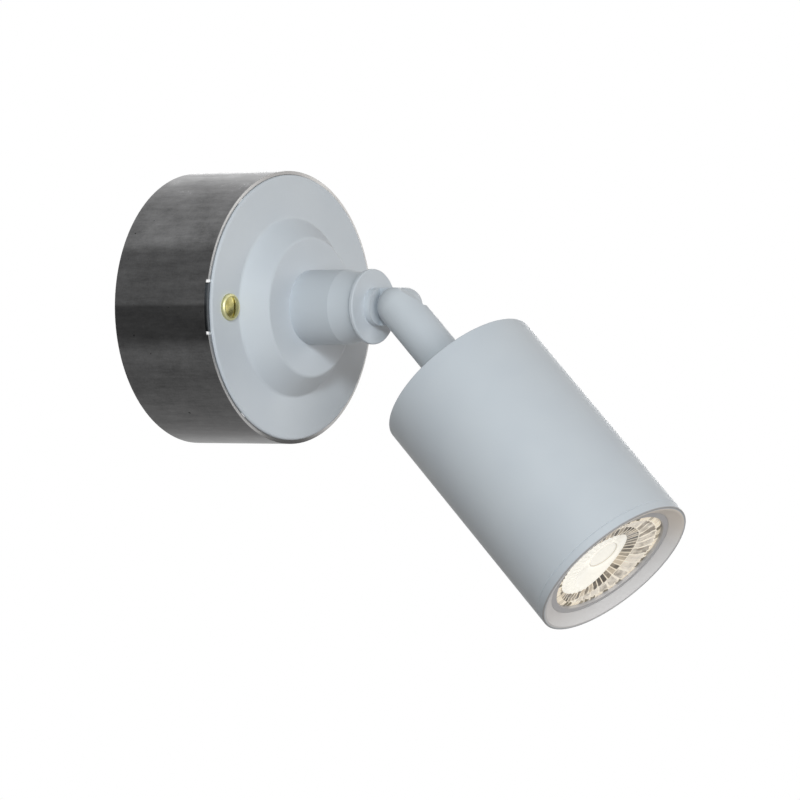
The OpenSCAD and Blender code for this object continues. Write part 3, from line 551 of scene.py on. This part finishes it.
# The optic's colour also feeds a faint emission: painted glow.
glass_optic, optic_shader, place = finish(
    "lens_optic", IOR=1.49, Coat_Roughness=0.03, Coat_Weight=0.5, Emission_Strength=0.42
)
from_axis = place.vector("DISTANCE", in_lamp(0, 0, MIDDLE_DEPTH)) * MM_IN_M
from_bright = place.vector("SUBTRACT", in_lamp(BRIGHT_X, BRIGHT_RISE, MIDDLE_DEPTH))
up_slope = from_bright.vector("DOT_PRODUCT", SLOPE_WAY)
across = from_bright.vector("DOT_PRODUCT", ACROSS_WAY)
bright_reach = from_bright.vector("LENGTH") * MM_IN_M
turns = up_slope.maths("ARCTAN2", across) * (0.5 / math.pi) + 0.5
cloud = place.noise(330.0, detail=2.0)
inner_line, inner_luck = bars(turns, *INNER_BARS)
cell_line, cell_luck = bars(turns, *CELL_BARS)
edge_line, edge_luck = bars(turns, *EDGE_BARS)
# Bars and cells in dark and pale tones stand for light and dark seen through the ribs: painted light.
inner_tones = (inner_luck * 0.6 + cloud * 0.7).rise(0.35, 0.95).blend(INNER_DARK, INNER_PALE)
inner_bars = inner_line.blend(inner_tones, INNER_LINE)
cell_tones = (cell_luck * 0.5 + cloud * 0.9).rise(0.38, 0.9).blend(CELL_DARK, CELL_PALE)
seams = seam(bright_reach, INNER_SEAM, 0.45).maths("MAXIMUM", seam(from_axis, OUTER_SEAM, 0.4))
cell_bars = cell_line.maths("MAXIMUM", seams).blend(cell_tones, CELL_LINE)
edge_tones = edge_luck.rise(0.3, 0.7).blend(EDGE_DARK, EDGE_PALE)
edge_bars = edge_line.blend(edge_tones, EDGE_LINE)
rows = bright_reach.rise(*INNER_EDGE).blend(inner_bars, cell_bars)
rows = from_axis.rise(*OUTER_EDGE).blend(rows, edge_bars)
centre = 1.0 - bright_reach.rise(*CENTRE_EDGE)
well = from_axis.rise(*WELL_FROM) * (1.0 - from_axis.rise(*WELL_TO))
optic_painted_light = (well * WELL_SHADE).blend(centre.blend(rows, CENTRE_GLOW_COLOUR), WELL_COLOUR)
optic_painted_light.into(optic_shader, "Base Color", "Emission Color")
(0.12 + 0.25 * cloud).into(optic_shader, "Roughness")
cone_pole, well_pole = in_lamp(0, 0, CONE_POINT), in_lamp(0, 0, WELL_POINT)
optic = skin("lens_optic", optic_points(), back_pole=cone_pole, front_pole=well_pole)
optic.data.materials.append(glass_optic)
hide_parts("lamp_lens")
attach(optic, "head")

# The front ring: a turned ring pushed into the head's mouth, painted like the head outside.
# Its lip is painted as a darker line, which is painted shade, and the sloping bezel inside is pale grey,
# painted warmer up the slope as if lit by the lamp: painted light.
LIP_OUT, LIP_RADIUS = (MOUTH - 0.0004, MOUTH - 0.0002), (0.0294, 0.0297)
BEZEL_RADIUS, BEZEL_RISE = (0.0291, 0.0293), (0.006, 0.026)
BEZEL_LOW, BEZEL_GLOW, LIP_SHADE_COLOUR = (0.775, 0.77, 0.78, 1), (0.88, 0.82, 0.76, 1), (0.36, 0.355, 0.36, 1)
ring_paint, ring_shader, place, ring_colour = powder_coat("front_ring_paint")
from_pivot = place.vector("SUBTRACT", PIVOT)
ahead = from_pivot.vector("DOT_PRODUCT", AXIS_WAY)
reach = from_pivot.vector("LENGTH")
off_axis = (reach * reach - ahead * ahead).maths("SQRT")
# The lip's outer edge is darker: painted shade.
lip_shade = ahead.rise(*LIP_OUT) * off_axis.rise(*LIP_RADIUS)
inside = 1.0 - off_axis.rise(*BEZEL_RADIUS)
# The bezel turns warm cream up the slope: painted glow of the lamp.
bezel_with_glow = from_pivot.vector("DOT_PRODUCT", SLOPE_WAY).rise(*BEZEL_RISE).blend(BEZEL_LOW, BEZEL_GLOW)
lip_shade.blend(inside.blend(ring_colour, bezel_with_glow), LIP_SHADE_COLOUR).into(ring_shader, "Base Color")
dress(ring_paint, "front_ring")
